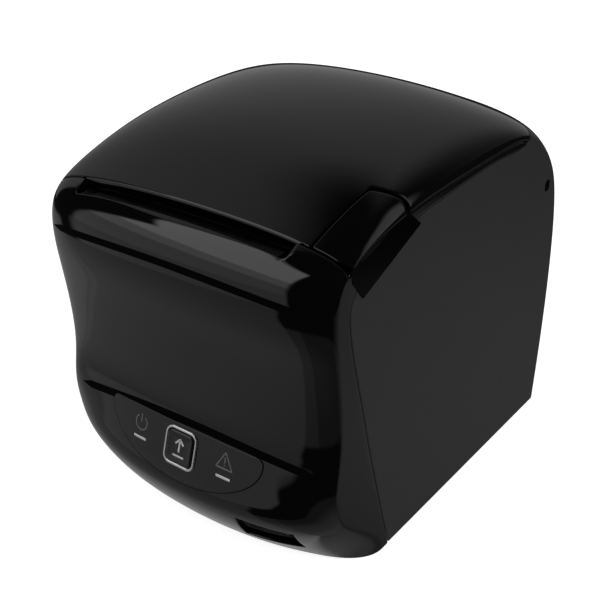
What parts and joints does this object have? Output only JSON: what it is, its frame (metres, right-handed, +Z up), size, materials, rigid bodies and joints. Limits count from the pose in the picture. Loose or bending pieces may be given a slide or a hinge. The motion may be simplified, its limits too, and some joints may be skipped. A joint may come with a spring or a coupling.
{
  "type": "receipt printer",
  "caption": "Desktop thermal receipt printer with a bulged gloss front, hinged paper cover with a side lever, feed button panel, rocker switch and rear sockets",
  "frame": {"origin": "on the floor under the middle of the case", "axes": "X to the printer's right as seen from the front, front towards -Y, Z up"},
  "size_m": [0.1286, 0.174, 0.1586],
  "materials": {
    "satin_case": "fine satin texture",
    "gloss_front": "polished",
    "gloss_panel": "polished",
    "button_black": "polished",
    "silver_trim": "satin silver",
    "pale_lens": "frosted",
    "inner_black": "moulded",
    "switch_black": "moulded",
    "foot_rubber": "matte",
    "roller_rubber": "ground",
    "steel": "plated",
    "bearing_white": "moulded",
    "head_ceramic": "glazed strip",
    "sink_aluminium": "extruded",
    "board_green": "solder mask",
    "led_clear": "clear"
  },
  "bodies": {
    "case": {"main_case": "satin_case", "front_shell": "gloss_front", "control_panel": "gloss_panel", "button_ring": "silver_trim", "power_lens": "pale_lens", "error_lens": "pale_lens", "hinge_brackets": "inner_black", "base_plate": "inner_black", "paper_well": "inner_black", "switch_bezel": "inner_black", "cutter_frame": "inner_black", "cover_switch": "inner_black", "paper_sensor": "inner_black", "buzzer": "inner_black", "drawer_socket": "inner_black", "serial_socket": "inner_black", "power_inlet": "inner_black", "board_chips": "inner_black", "tact_switch": "inner_black", "rubber_feet": "foot_rubber", "chassis_frame": "steel", "hinge_pins": "steel", "lever_pin": "steel", "base_screws": "steel", "idler_pin": "steel", "feed_motor": "steel", "head_spring": "steel", "cutter_motor": "steel", "socket_plate": "steel", "usb_socket": "steel", "print_head": "head_ceramic", "heat_sink": "sink_aluminium", "main_board": "board_green", "panel_board": "board_green", "panel_leds": "led_clear"},
    "cover": {"top_cover": "gloss_front", "cover_liner": "inner_black", "platen_bracket": "steel", "platen_bushes": "bearing_white", "fixed_blade": "steel", "tear_bar": "steel"},
    "platen": {"platen_roller": "roller_rubber", "platen_shaft": "steel", "platen_gear": "bearing_white"},
    "idler": {"idler_gear": "bearing_white"},
    "pinion": {"motor_pinion": "bearing_white", "motor_spindle": "steel"},
    "lever": {"cover_lever": "gloss_front"},
    "latch": {"latch_bar": "steel"},
    "button": {"feed_button": "button_black"},
    "rocker": {"power_rocker": "switch_black"},
    "blade": {"moving_blade": "steel"}
  },
  "joints": [
    {"name": "cover_hinge", "type": "hinge", "parent": "case", "child": "cover", "pos_m": [0, 0.066, 0.129], "axis": [-1, 0, 0], "range_deg": [0, 80]},
    {"name": "platen_turn", "type": "hinge", "parent": "cover", "child": "platen", "pos_m": [-0.00275, -0.0615, 0.118], "axis": [1, 0, 0], "continuous": true},
    {"name": "idler_turn", "type": "hinge", "parent": "case", "child": "idler", "pos_m": [-0.053, -0.0596, 0.09623], "axis": [1, 0, 0], "continuous": true},
    {"name": "pinion_turn", "type": "hinge", "parent": "case", "child": "pinion", "pos_m": [-0.053, -0.04754, 0.08418], "axis": [1, 0, 0], "continuous": true},
    {"name": "lever_lift", "type": "hinge", "parent": "case", "child": "lever", "pos_m": [0.0563, -0.037, 0.135], "axis": [-1, 0, 0], "range_deg": [0, 8]},
    {"name": "latch_swing", "type": "hinge", "parent": "case", "child": "latch", "pos_m": [0, -0.0475, 0.124], "axis": [-1, 0, 0], "range_deg": [0, 16.8]},
    {"name": "feed_press", "type": "slide", "parent": "case", "child": "button", "axis": [0, 0.9588, -0.284], "range_m": [0, 0.0009], "stiffness_N_per_m": 300},
    {"name": "power_rock", "type": "hinge", "parent": "case", "child": "rocker", "pos_m": [0.03683, -0.07389, 0.0214], "axis": [0.121, -0.4851, 0.866], "range_deg": [0, 12]},
    {"name": "cutter_slide", "type": "slide", "parent": "case", "child": "blade", "axis": [0, 1, 0], "range_m": [0, 0.0065]}
  ],
  "couplings": [
    {"joint": "idler_turn", "follows": "platen_turn", "ratio": -0.8},
    {"joint": "pinion_turn", "follows": "platen_turn", "ratio": 2},
    {"joint": "latch_swing", "follows": "lever_lift", "ratio": 2.1}
  ]
}
